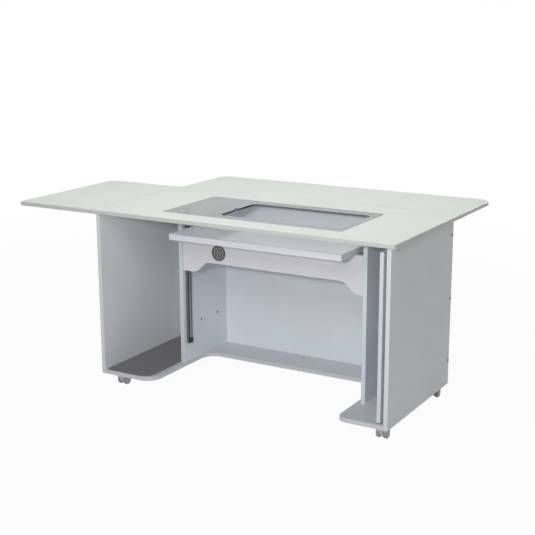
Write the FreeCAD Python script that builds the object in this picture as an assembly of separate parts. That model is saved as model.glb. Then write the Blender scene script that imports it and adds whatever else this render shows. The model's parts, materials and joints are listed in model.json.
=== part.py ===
import FreeCAD, Part
import math
import os

# Sewing cabinet on castors: a worktop with two drop leaves, a gas-sprung machine lift in the knee
# space, an open storage bay at the left and a bay with a pull-out board at the right.
# Millimetres. +X is the user's right, +Y the back, +Z up. The origin lies on the floor under the
# centre of the opened worktop.

# Worktop: main top, left leaf and rear leaf
TOP_HEIGHT = 770.0
TOP_THICK = 18.0
MAIN_WIDTH = 1396.0
MAIN_DEPTH = 659.0
LEFT_LEAF_REACH = 392.0
REAR_LEAF_REACH = 375.0
REAR_LEAF_INSET = 10.0
SEAM_GAP = 2.0
FRONT_CORNER_RADIUS = 12.0
REAR_CORNER_RADIUS = 50.0
EDGE_ROUND = 4.0

# Machine cut-out in the main top, its ledge and the clear insert that lies on it
CUTOUT_FROM_RIGHT = 273.0
CUTOUT_FROM_FRONT = 112.0
CUTOUT_FROM_DIVIDER = 6.0
CUTOUT_DEPTH = 403.0
CUTOUT_RADIUS = 16.0
LEDGE = 10.0
INSERT_THICK = 8.0
INSERT_GAP = 1.0
NOTCH_LEFT = 245.0
NOTCH_RIGHT = 28.0
NOTCH_FRONT = 52.0
NOTCH_BACK = 62.0
NOTCH_RADIUS = 30.0
FINGER_RADIUS = 14.0

# Carcase boards
BOARD = 18.0
RIGHT_OVERHANG = 21.0
LEFT_OVERHANG = 18.0
FRONT_OVERHANG = 15.0
BACK_OVERHANG = 25.0
BOARD_ROUND = 1.5

# Base plate: two lobes joined by a rear strip
BASE_THICK = 18.0
REAR_STRIP = 177.0
LOBE_RADIUS = 65.0
LEFT_LOBE_MARGIN = 3.0
RIGHT_LOBE_RADIUS = 40.0
RIGHT_LOBE_MARGIN = 22.0

# Dividers and the bays that they close
LEFT_BAY = 229.0
RIGHT_BAY = 159.0
LEFT_DIVIDER_SETBACK = 248.0
RIGHT_DIVIDER_SETBACK = 175.0

# Lift platform and the shaped cross beam under it
PLATFORM_DROP = 99.0
PLATFORM_THICK = 25.0
PLATFORM_SIDE_GAP = 2.5
PLATFORM_FRONT_GAP = 18.0
PLATFORM_RADIUS = 3.0
LIFT_TRAVEL = 200.0
BEAM_INSET = 2.0
BEAM_THICK = 18.0
BEAM_HEIGHT = 113.0
BEAM_END_GAP = 2.0
TAB_WIDTH = 66.0
TAB_DROP = 48.0
TAB_RUN = 56.0
TAB_ROUND = 30.0

# Round vent cap in the beam
VENT_RADIUS = 34.0
VENT_FLANGE = 4.0
VENT_FACE = 2.5
VENT_SPIGOT = 12.0
VENT_WALL = 2.0
VENT_PLAY = 0.2
VENT_FROM_END = 184.0
VENT_BELOW_PLATFORM = 65.0
VENT_HOLE_RADIUS = 3.0
VENT_HOLE_PITCH = 11.0
VENT_RINGS = 2
VENT_HOLES_PER_RING = 6

# Lipped tracks, gas springs and carriages of the lift
TRACK_BEHIND_BEAM = 1.0
TRACK_WIDTH = 30.0
TRACK_DEPTH = 10.0
TRACK_WALL = 1.5
TRACK_LIP = 4.0
TRACK_FLOOR_GAP = 87.0
TRACK_HEAD_GAP = 7.0
ANCHOR_HEIGHT = 22.0
ANCHOR_SIDE_GAP = 0.5
ANCHOR_POCKET = 6.0
ANCHOR_WALL = 3.0
CYLINDER_RADIUS = 7.0
CYLINDER_WALL = 1.5
CYLINDER_CAP = 6.0
CYLINDER_SPARE = 5.0
GLAND_LENGTH = 12.0
ROD_RADIUS = 4.0
ROD_PLAY = 0.05
PISTON_LENGTH = 8.0
PISTON_PLAY = 0.3
GLIDE_HEIGHT = 40.0
GLIDE_PLAY = 0.4
GLIDE_NECK_PLAY = 0.5
GLIDE_BORE_PLAY = 0.1
GLIDE_WALL = 1.5
GLIDE_INSET = 5.0
CARRIAGE_PLATE = 3.0
CARRIAGE_MARGIN = 5.0
ARM_LENGTH = 187.0
ARM_TIP = 40.0
ARM_ROUND = 12.0
FLANGE_OVERLAP = 40.0
BEAM_FLANGE = 38.0

# Buffer springs: coils round the gas spring rods, held on a nose of the gland
SPRING_WIRE = 1.2
SPRING_RADIUS = 7.3
SPRING_OPEN_PITCH = 13.44
SPRING_CLOSED_PITCH = 2.9
SPRING_FOOT_TURNS = 1.0
SPRING_OPEN_TURNS = 6.5
SPRING_RAMP_TURNS = 1.0
SPRING_HEAD_TURNS = 2.0
SPRING_SEAT_GAP = 0.1
STEPS_PER_TURN = 4
SAMPLES_PER_TURN = 24
NOSE_LENGTH = 7.0
NOSE_PLAY = 0.15

# Pull-out board of the right bay and its runners
PULLOUT_THICK = 16.0
PULLOUT_BACK_GAP = 39.0
PULLOUT_INSET = 2.0
PULLOUT_FLOOR_GAP = 9.0
PULLOUT_TOP_GAP = 20.0
RUNNER_GAP = 12.7
RUNNER_HEIGHT = 42.0
RUNNER_SHEET = 1.5
RUNNER_PLAY = 0.3
RUNNER_NEST = 3.0
RUNNER_INSET = 110.0
RUNNER_SETBACK = 56.0
RUNNER_TAIL = 4.0

# Leaf hinges
HINGE_LENGTH = 64.0
HINGE_PLATE = 2.0
HINGE_END_INSET = 90.0
FIXED_WING = 15.0
LEAF_WING = 30.0
PIN_DROP = 5.0
PIN_RADIUS = 2.0
PIN_PLAY = 0.05
KNUCKLE_RADIUS = 4.5
KNUCKLE_GAP = 0.5
KNUCKLES = 3
LEFT_HINGES = 2
REAR_HINGES = 3

# Leaf stays: struts pivoted on the leaf, with feet that bear in rails on the carcase
STAY_REACH = 140.0
STRUT_THICK = 10.0
STRUT_WIDTH = 12.0
STRUT_PIN_RADIUS = 3.0
STRUT_PIN_HEAD = 1.5
STAY_CLEARANCE = 0.4
EAR_THICK = 3.0
EAR_GAP = 0.5
EAR_RADIUS = 5.5
EAR_ROOT = 17.0
BRACKET_BASE = 2.5
RAIL_FLOOR = 2.0
RAIL_WALL = 2.0
RAIL_RISE = 7.0
RAIL_SIDE_GAP = 2.0
RAIL_END = 12.0
LEFT_STAYS_FROM_FRONT = (380.0, 560.0)
REAR_STAYS_FROM_LEFT = (316.0, 1066.0)

# Twin-wheel castors
CASTOR_HEIGHT = 45.0
CASTOR_PLATE = 38.0
CASTOR_PLATE_THICK = 2.5
CASTOR_PLATE_ROUND = 5.0
CASTOR_TRAIL = 16.0
STEM_RADIUS = 4.0
STEM_LENGTH = 15.0
STEM_PLAY = 0.05
HOOD_TOP_GAP = 0.4
BOSS_RADIUS = 7.0
BOSS_DEPTH = 20.0
WEB_HALF = 6.0
WEB_RADIUS = 14.5
WHEEL_RADIUS = 19.0
WHEEL_WIDTH = 15.0
WHEEL_INNER = 7.4
WHEEL_ROUND = 3.5
HUB_RADIUS = 11.0
HUB_DISH = 1.5
AXLE_RADIUS = 2.5
AXLE_PLAY = 0.05
AXLE_END = 3.0
FENDER_GAP = 0.8
FENDER_WALL = 2.0
FENDER_ANGLE = 28.0
CASTOR_LEFT_INSET = 90.0
CASTOR_RIGHT_INSET = 35.0
CASTOR_FRONT_INSET = 23.0
CASTOR_BACK_INSET = 80.0

# Cover caps over the carcase screws
CAP_RADIUS = 6.0
CAP_THICK = 1.2
CAP_FROM_BOTTOM = 105.0
CAP_FROM_TOP = 62.0
BOLT_CAP_RADIUS = 4.5
BOLT_CAP_THICK = 1.5
BOLT_CAP_HEIGHT = 165.0
BOLT_CAPS_FROM_DIVIDER_FRONT = (139.0, 272.0)
BASE_CAP_FROM_DIVIDER = 427.0
BASE_CAP_FROM_BACK = 34.0

# Distance within which two places count as one
SAME_PLACE = 1e-3

# Planes that the sizes above fix
table_width = MAIN_WIDTH + SEAM_GAP + LEFT_LEAF_REACH
table_depth = MAIN_DEPTH + SEAM_GAP + REAR_LEAF_REACH
top_right = table_width / 2
top_front = -table_depth / 2
main_left = top_right - MAIN_WIDTH
main_back = top_front + MAIN_DEPTH
leaf_left = -table_width / 2
leaf_back = table_depth / 2
underside = TOP_HEIGHT - TOP_THICK

right_face = top_right - RIGHT_OVERHANG
right_wall = right_face - BOARD
left_face = main_left + LEFT_OVERHANG
left_wall = left_face + BOARD
carcase_front = top_front + FRONT_OVERHANG
carcase_back = main_back - BACK_OVERHANG
back_wall = carcase_back - BOARD
base_top = CASTOR_HEIGHT + BASE_THICK

left_divider_outer = left_wall + LEFT_BAY
left_divider_face = left_divider_outer + BOARD
left_divider_front = carcase_front + LEFT_DIVIDER_SETBACK
right_divider_outer = right_wall - RIGHT_BAY
right_divider_face = right_divider_outer - BOARD
right_divider_front = carcase_front + RIGHT_DIVIDER_SETBACK

cutout_right = top_right - CUTOUT_FROM_RIGHT
cutout_left = left_divider_face + CUTOUT_FROM_DIVIDER
cutout_front = top_front + CUTOUT_FROM_FRONT
cutout_back = cutout_front + CUTOUT_DEPTH

platform_left = cutout_left + LEDGE + PLATFORM_SIDE_GAP
platform_right = cutout_right - LEDGE - PLATFORM_SIDE_GAP
platform_front = cutout_front + LEDGE + PLATFORM_FRONT_GAP
platform_back = cutout_back - LEDGE - PLATFORM_FRONT_GAP
platform_top = TOP_HEIGHT - PLATFORM_DROP
platform_bottom = platform_top - PLATFORM_THICK

beam_front = left_divider_front + BEAM_INSET
beam_back = beam_front + BEAM_THICK
beam_left = left_divider_face + BEAM_END_GAP
beam_right = right_divider_face - BEAM_END_GAP
beam_bottom = platform_bottom - BEAM_HEIGHT
tab_bottom = beam_bottom - TAB_DROP

track_front = beam_back + TRACK_BEHIND_BEAM
track_back = track_front + TRACK_WIDTH
track_middle = (track_front + track_back) / 2
track_bottom = base_top + TRACK_FLOOR_GAP
track_top = underside - TRACK_HEAD_GAP
anchor_top = track_bottom + ANCHOR_HEIGHT
carriage_bottom = tab_bottom + CARRIAGE_MARGIN
cylinder_bottom = carriage_bottom + GLIDE_INSET
piston_bottom = cylinder_bottom + GLAND_LENGTH + PISTON_LENGTH / 2
cylinder_top = piston_bottom + PISTON_LENGTH + LIFT_TRAVEL + CYLINDER_SPARE + CYLINDER_CAP
glide_bore = CYLINDER_RADIUS + GLIDE_BORE_PLAY
spring_offset = TRACK_WALL + GLIDE_PLAY + GLIDE_WALL + glide_bore
carriage_offset = spring_offset + glide_bore + GLIDE_WALL

pullout_right = right_wall - RUNNER_GAP
pullout_left = pullout_right - PULLOUT_THICK
pullout_front = carcase_front + PULLOUT_INSET
pullout_back = back_wall - PULLOUT_BACK_GAP
pullout_bottom = base_top + PULLOUT_FLOOR_GAP
pullout_top = underside - PULLOUT_TOP_GAP

hinge_height = underside - PIN_DROP


def at_height(z):
    """Plan drawing plane: the first coordinate is X, the second Y."""
    return lambda u, v: FreeCAD.Vector(u, v, z)


def facing_front(y):
    """Front drawing plane: the first coordinate is X, the second Z."""
    return lambda u, v: FreeCAD.Vector(u, y, v)


def facing_side(x):
    """Side drawing plane: the first coordinate is Y, the second Z."""
    return lambda u, v: FreeCAD.Vector(x, u, v)


def outline(corners, plane):
    """Closed wire through corners (u, v, radius), each corner rounded by its own radius."""
    spans = []
    for index, (u, v, radius) in enumerate(corners):
        corner = FreeCAD.Vector(u, v, 0)
        before = FreeCAD.Vector(*corners[index - 1][:2], 0) - corner
        after = FreeCAD.Vector(*corners[(index + 1) % len(corners)][:2], 0) - corner
        before.normalize()
        after.normalize()
        half = before.getAngle(after) / 2
        reach = radius / math.tan(half)
        bisector = (before + after).normalize()
        middle = corner + bisector * (radius / math.sin(half) - radius)
        spans.append((corner + before * reach, middle, corner + after * reach, radius))
    edges = []
    for index, (start, middle, end, radius) in enumerate(spans):
        if radius > 0:
            arc = Part.Arc(plane(*start[:2]), plane(*middle[:2]), plane(*end[:2]))
            edges.append(arc.toShape())
        following = spans[(index + 1) % len(spans)][0]
        if (following - end).Length > SAME_PLACE:
            edges.append(Part.makeLine(plane(*end[:2]), plane(*following[:2])))
    return Part.Wire(edges)


def plate(corners, plane, push):
    """Flat piece with a rounded outline, pushed from its drawing plane along a vector."""
    return Part.Face(outline(corners, plane)).extrude(push)


def block(x0, x1, y0, y1, z0, z1):
    """Square block between two opposite corners, given in any order."""
    low = FreeCAD.Vector(min(x0, x1), min(y0, y1), min(z0, z1))
    return Part.makeBox(abs(x1 - x0), abs(y1 - y0), abs(z1 - z0), low)


def rectangle(u0, u1, v0, v1, radius=0.0):
    """Corners of a rectangle that share one radius."""
    return [(u0, v0, radius), (u1, v0, radius), (u1, v1, radius), (u0, v1, radius)]


def rod(radius, start, along):
    """Round bar from a start point along a vector."""
    return Part.makeCylinder(radius, along.Length, start, along)


def soften(shape, radius, wanted):
    """Round the edges whose middle point is wanted."""
    edges = [edge for edge in shape.Edges if wanted(edge.CenterOfMass)]
    return shape.makeFillet(radius, edges)


def near(a, b):
    """True where two places are the same."""
    return abs(a - b) < SAME_PLACE


def save(node, *solids):
    """Write one node: a single solid, or a group of separate solids."""
    shape = solids[0]
    if len(solids) > 1:
        shape = Part.makeCompound(list(solids))
    shape.exportStep("parts/" + node + ".step")


def worktop_board(corners, seams):
    """Laminated top board with soft edges, apart from the square edges at its seams."""
    board = plate(corners, at_height(underside), FreeCAD.Vector(0, 0, TOP_THICK))

    def outer_rim(point):
        on_rim = near(point.z, underside) or near(point.z, TOP_HEIGHT)
        at_seam = any(near(point[axis], place) for axis, place in seams)
        return on_rim and not at_seam

    return soften(board, EDGE_ROUND, outer_rim)


def make_main_top():
    """Main top with the machine cut-out: a through opening and a shallow ledge round it."""
    corners = [
        (main_left, top_front, 0.0),
        (top_right, top_front, FRONT_CORNER_RADIUS),
        (top_right, main_back, 0.0),
        (main_left, main_back, 0.0),
    ]
    board = worktop_board(corners, [(0, main_left), (1, main_back)])
    rebate = plate(
        rectangle(cutout_left, cutout_right, cutout_front, cutout_back, CUTOUT_RADIUS),
        at_height(TOP_HEIGHT - INSERT_THICK),
        FreeCAD.Vector(0, 0, INSERT_THICK),
    )
    opening = plate(
        rectangle(
            cutout_left + LEDGE,
            cutout_right - LEDGE,
            cutout_front + LEDGE,
            cutout_back - LEDGE,
            CUTOUT_RADIUS - LEDGE,
        ),
        at_height(underside),
        FreeCAD.Vector(0, 0, TOP_THICK),
    )
    return board.cut(rebate).cut(opening)


def make_insert():
    """Clear insert: fills the rebate, with an opening for the machine bed and a finger notch."""
    left = cutout_left + INSERT_GAP
    right = cutout_right - INSERT_GAP
    front = cutout_front + INSERT_GAP
    back = cutout_back - INSERT_GAP
    floor = TOP_HEIGHT - INSERT_THICK
    rise = FreeCAD.Vector(0, 0, INSERT_THICK)
    sheet = plate(rectangle(left, right, front, back, CUTOUT_RADIUS - INSERT_GAP), at_height(floor), rise)
    bed = rectangle(
        left + NOTCH_LEFT,
        right - NOTCH_RIGHT,
        front + NOTCH_FRONT,
        back - NOTCH_BACK,
        NOTCH_RADIUS,
    )
    finger = FreeCAD.Vector(left + NOTCH_LEFT, (front + NOTCH_FRONT + back - NOTCH_BACK) / 2, floor)
    return sheet.cut(plate(bed, at_height(floor), rise)).cut(rod(FINGER_RADIUS, finger, rise))


def make_left_leaf():
    """Left leaf, as deep as the main top."""
    seam = main_left - SEAM_GAP
    corners = [
        (leaf_left, top_front, FRONT_CORNER_RADIUS),
        (seam, top_front, 0.0),
        (seam, main_back, 0.0),
        (leaf_left, main_back, REAR_CORNER_RADIUS),
    ]
    return worktop_board(corners, [(0, seam)])


def make_rear_leaf():
    """Rear leaf, flush with the main top at the right."""
    seam = main_back + SEAM_GAP
    corners = [
        (main_left + REAR_LEAF_INSET, seam, 0.0),
        (top_right, seam, 0.0),
        (top_right, leaf_back, REAR_CORNER_RADIUS),
        (main_left + REAR_LEAF_INSET, leaf_back, REAR_CORNER_RADIUS),
    ]
    return worktop_board(corners, [(1, seam)])


def upright(x0, x1, front, back, bottom, top):
    """Standing board whose front edge band is slightly rounded."""
    board = block(x0, x1, front, back, bottom, top)

    def front_corner(point):
        return near(point.y, front) and near(point.z, (bottom + top) / 2)

    return soften(board, BOARD_ROUND, front_corner)


def make_base():
    """Base plate: left and right lobes joined by a rear strip, with swept corners."""
    left_edge = left_divider_face + LEFT_LOBE_MARGIN
    right_edge = right_divider_face - RIGHT_LOBE_MARGIN
    strip_front = carcase_back - REAR_STRIP
    corners = [
        (left_wall, carcase_front, 0.0),
        (left_edge, carcase_front, LOBE_RADIUS),
        (left_edge, strip_front, LOBE_RADIUS),
        (right_edge, strip_front, LOBE_RADIUS),
        (right_edge, carcase_front, RIGHT_LOBE_RADIUS),
        (right_wall, carcase_front, 0.0),
        (right_wall, carcase_back, 0.0),
        (left_wall, carcase_back, 0.0),
    ]
    board = plate(corners, at_height(CASTOR_HEIGHT), FreeCAD.Vector(0, 0, BASE_THICK))

    def front_rim(point):
        at_wall = near(point.x, left_wall) or near(point.x, right_wall) or near(point.y, carcase_back)
        on_rim = near(point.z, CASTOR_HEIGHT) or near(point.z, base_top)
        return on_rim and not at_wall

    return soften(board, BOARD_ROUND, front_rim)


def make_platform():
    """Lift platform with soft upper edges."""
    corners = rectangle(platform_left, platform_right, platform_front, platform_back, PLATFORM_RADIUS)
    board = plate(corners, at_height(platform_bottom), FreeCAD.Vector(0, 0, PLATFORM_THICK))
    return soften(board, BOARD_ROUND, lambda point: near(point.z, platform_top))


def vent_centre():
    """Middle of the vent on the beam's front face."""
    return FreeCAD.Vector(beam_left + VENT_FROM_END, beam_front, platform_bottom - VENT_BELOW_PLATFORM)


def make_beam():
    """Cross beam: a deep board with a tab at each end, swept into its lower edge."""
    corners = [
        (beam_left, platform_bottom, 0.0),
        (beam_left, tab_bottom, 0.0),
        (beam_left + TAB_WIDTH, tab_bottom, TAB_ROUND),
        (beam_left + TAB_WIDTH + TAB_RUN, beam_bottom, TAB_ROUND),
        (beam_right - TAB_WIDTH - TAB_RUN, beam_bottom, TAB_ROUND),
        (beam_right - TAB_WIDTH, tab_bottom, TAB_ROUND),
        (beam_right, tab_bottom, 0.0),
        (beam_right, platform_bottom, 0.0),
    ]
    through = FreeCAD.Vector(0, BEAM_THICK, 0)
    board = plate(corners, facing_front(beam_front), through)
    return board.cut(rod(VENT_RADIUS - VENT_FLANGE, vent_centre(), through))


def make_vent():
    """Vent cap: a flanged face with rings of holes on a spigot that plugs into the beam."""
    centre = vent_centre()
    inward = FreeCAD.Vector(0, 1, 0)
    spigot_radius = VENT_RADIUS - VENT_FLANGE - VENT_PLAY
    cap = rod(VENT_RADIUS, centre - inward * VENT_FACE, inward * VENT_FACE)
    spigot = rod(spigot_radius, centre, inward * VENT_SPIGOT)
    cap = cap.fuse(spigot.cut(rod(spigot_radius - VENT_WALL, centre, inward * VENT_SPIGOT)))
    holes = []
    for ring in range(VENT_RINGS + 1):
        count = max(1, VENT_HOLES_PER_RING * ring)
        for step in range(count):
            angle = 2 * math.pi * step / count
            spoke = FreeCAD.Vector(math.cos(angle), 0, math.sin(angle))
            place = centre + spoke * (ring * VENT_HOLE_PITCH) - inward * VENT_FACE
            holes.append(rod(VENT_HOLE_RADIUS, place, inward * VENT_FACE))
    return cap.cut(holes)


def spring_stages():
    """Stages of a buffer spring from its foot up: turns, first pitch and last pitch."""
    return [
        (SPRING_FOOT_TURNS, SPRING_CLOSED_PITCH, SPRING_CLOSED_PITCH),
        (SPRING_RAMP_TURNS, SPRING_CLOSED_PITCH, SPRING_OPEN_PITCH),
        (SPRING_OPEN_TURNS, SPRING_OPEN_PITCH, SPRING_OPEN_PITCH),
        (SPRING_RAMP_TURNS, SPRING_OPEN_PITCH, SPRING_CLOSED_PITCH),
        (SPRING_HEAD_TURNS, SPRING_CLOSED_PITCH, SPRING_CLOSED_PITCH),
    ]


def spring_turns():
    """Turns of a buffer spring from end to end."""
    return sum(turns for turns, first, last in spring_stages())


def spring_wire(turn):
    """Centre and heading of the spring wire after a number of turns, about an upright axis."""
    rise = 0.0
    pitch = SPRING_CLOSED_PITCH
    start = 0.0
    for turns, first, last in spring_stages():
        share = min(max((turn - start) / turns, 0.0), 1.0)
        rise += turns * (first * share + (last - first) * share * share / 2)
        if turn > start:
            pitch = first + (last - first) * share
        start += turns
    angle = 2 * math.pi * turn
    centre = FreeCAD.Vector(SPRING_RADIUS * math.cos(angle), SPRING_RADIUS * math.sin(angle), rise)
    run = 2 * math.pi * SPRING_RADIUS
    heading = FreeCAD.Vector(-run * math.sin(angle), run * math.cos(angle), pitch)
    return centre, heading.normalize()


def arc_middle(start, end, heading):
    """Middle of the arc between two points that leaves the start along a heading."""
    chord = end - start
    along = FreeCAD.Vector(chord).normalize()
    aside = heading - along * heading.dot(along)
    bulge = math.tan(heading.getAngle(along) / 2) * chord.Length / 2
    return start + chord / 2 + aside.normalize() * bulge


def biarc(start, heading, end, final):
    """Two arcs that meet smoothly and join two points along their headings."""
    span = end - start
    both = heading + final
    spread = 2 * (1 - heading.dot(final))
    pull = span.dot(both)
    reach = (math.sqrt(pull * pull + spread * span.dot(span)) - pull) / spread
    joint = (start + end + (heading - final) * reach) / 2
    first = Part.Arc(start, arc_middle(start, joint, heading), joint)
    second = Part.Arc(joint, arc_middle(end, joint, -final), end)
    return [first.toShape(), second.toShape()]


def spring_clearance():
    """Least gap between neighbouring turns of the wire, measured on points along its centre line."""
    count = round(spring_turns() * SAMPLES_PER_TURN)
    spots = [spring_wire(step / SAMPLES_PER_TURN)[0] for step in range(count + 1)]
    apart = SAMPLES_PER_TURN // 2
    gaps = [
        spots[low].distanceToPoint(spots[high])
        for low in range(count + 1)
        for high in range(low + apart, count + 1)
    ]
    return min(gaps) - 2 * SPRING_WIRE


class LiftSide:
    """One side of the lift, measured from a divider's face towards the knee space."""

    def __init__(self, face, inward, platform_end):
        self.face = face
        self.inward = inward
        self.flange_end = platform_end + inward * FLANGE_OVERLAP

    def x(self, offset):
        """Place at an offset from the divider's face."""
        return self.face + self.inward * offset

    def axis(self, z):
        """Point on the gas spring's centre line."""
        return FreeCAD.Vector(self.x(spring_offset), track_middle, z)

    def track(self):
        """Lipped channel, open towards the knee space."""
        slot = TRACK_WALL + TRACK_LIP
        outer = block(self.x(0), self.x(TRACK_DEPTH), track_front, track_back, track_bottom, track_top)
        hollow = block(
            self.x(TRACK_WALL),
            self.x(TRACK_DEPTH - TRACK_WALL),
            track_front + TRACK_WALL,
            track_back - TRACK_WALL,
            track_bottom,
            track_top,
        )
        mouth = block(
            self.x(TRACK_WALL),
            self.x(TRACK_DEPTH),
            track_front + slot,
            track_back - slot,
            track_bottom,
            track_top,
        )
        return outer.cut(hollow).cut(mouth)

    def anchor(self):
        """Foot block between the track's lips with a pocket for the rod's end."""
        side = TRACK_WALL + TRACK_LIP + ANCHOR_SIDE_GAP
        foot = block(
            self.x(TRACK_WALL),
            self.x(spring_offset + ROD_RADIUS + ANCHOR_WALL),
            track_front + side,
            track_back - side,
            track_bottom,
            anchor_top,
        )
        pocket_floor = self.axis(anchor_top - ANCHOR_POCKET)
        pocket = rod(ROD_RADIUS + ROD_PLAY, pocket_floor, FreeCAD.Vector(0, 0, ANCHOR_POCKET))
        return foot.cut(pocket)

    def spring_rod(self):
        """Spring rod with its piston, standing in the anchor's pocket."""
        foot = anchor_top - ANCHOR_POCKET
        bar = rod(ROD_RADIUS, self.axis(foot), FreeCAD.Vector(0, 0, piston_bottom - foot))
        piston_radius = CYLINDER_RADIUS - CYLINDER_WALL - PISTON_PLAY
        return bar.fuse(rod(piston_radius, self.axis(piston_bottom), FreeCAD.Vector(0, 0, PISTON_LENGTH)))

    def cylinder(self):
        """Spring cylinder: a closed tube with a gland that the rod runs in and a nose under it."""
        length = cylinder_top - cylinder_bottom
        bore_length = length - GLAND_LENGTH - CYLINDER_CAP
        nose_bottom = cylinder_bottom - NOSE_LENGTH
        nose_radius = SPRING_RADIUS - SPRING_WIRE - NOSE_PLAY
        gland_length = NOSE_LENGTH + GLAND_LENGTH
        tube = rod(CYLINDER_RADIUS, self.axis(cylinder_bottom), FreeCAD.Vector(0, 0, length))
        nose = rod(nose_radius, self.axis(nose_bottom), FreeCAD.Vector(0, 0, NOSE_LENGTH))
        bore = rod(
            CYLINDER_RADIUS - CYLINDER_WALL,
            self.axis(cylinder_bottom + GLAND_LENGTH),
            FreeCAD.Vector(0, 0, bore_length),
        )
        gland = rod(ROD_RADIUS + ROD_PLAY, self.axis(nose_bottom), FreeCAD.Vector(0, 0, gland_length))
        return tube.fuse(nose).cut([bore, gland])

    def buffer_spring(self):
        """Coil round the rod, its closed upper turns held on the gland's nose."""
        turns = spring_turns()
        rise = spring_wire(turns)[0].z
        origin = self.axis(cylinder_bottom - SPRING_SEAT_GAP - SPRING_WIRE - rise)
        steps = [spring_wire(step / STEPS_PER_TURN) for step in range(round(turns * STEPS_PER_TURN) + 1)]
        arcs = []
        for (start, heading), (end, final) in zip(steps, steps[1:]):
            arcs += biarc(origin + start, heading, origin + end, final)
        start, heading = steps[0]
        section = Part.Wire(Part.makeCircle(SPRING_WIRE, origin + start, heading))
        return Part.Wire(arcs).makePipeShell([section], True, False)

    def glide(self, bottom):
        """Slide block in the track, clamped round the cylinder, with a neck out to the carriage."""
        top = bottom + GLIDE_HEIGHT
        wall = TRACK_WALL + GLIDE_PLAY
        neck = TRACK_WALL + TRACK_LIP + GLIDE_NECK_PLAY
        head = block(
            self.x(wall),
            self.x(TRACK_DEPTH - wall),
            track_front + wall,
            track_back - wall,
            bottom,
            top,
        )
        stalk = block(
            self.x(wall),
            self.x(carriage_offset),
            track_front + neck,
            track_back - neck,
            bottom,
            top,
        )
        bore = rod(glide_bore, self.axis(bottom), FreeCAD.Vector(0, 0, GLIDE_HEIGHT))
        return head.fuse(stalk).cut(bore).removeSplitter()

    def glides(self):
        """Upper and lower slide blocks."""
        upper = self.glide(platform_bottom - CARRIAGE_MARGIN - GLIDE_HEIGHT)
        lower = self.glide(cylinder_bottom)
        return upper, lower

    def carriage(self):
        """Folded steel arm: a gusset, a flange under the platform and a flange behind the beam."""
        near_face = self.x(carriage_offset)
        far_face = self.x(carriage_offset + CARRIAGE_PLATE)
        arm_back = beam_back + ARM_LENGTH
        gusset = plate(
            [
                (beam_back, platform_bottom, 0.0),
                (beam_back, carriage_bottom, 0.0),
                (track_back, carriage_bottom, ARM_ROUND),
                (arm_back, platform_bottom - ARM_TIP, ARM_ROUND),
                (arm_back, platform_bottom, 0.0),
            ],
            facing_side(near_face),
            FreeCAD.Vector(far_face - near_face, 0, 0),
        )
        shelf = block(
            near_face,
            self.flange_end,
            beam_back,
            arm_back,
            platform_bottom - CARRIAGE_PLATE,
            platform_bottom,
        )
        apron_flange = block(
            near_face,
            far_face + self.inward * BEAM_FLANGE,
            beam_back,
            beam_back + CARRIAGE_PLATE,
            carriage_bottom,
            platform_bottom,
        )
        return gusset.fuse([shelf, apron_flange]).removeSplitter()


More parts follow.
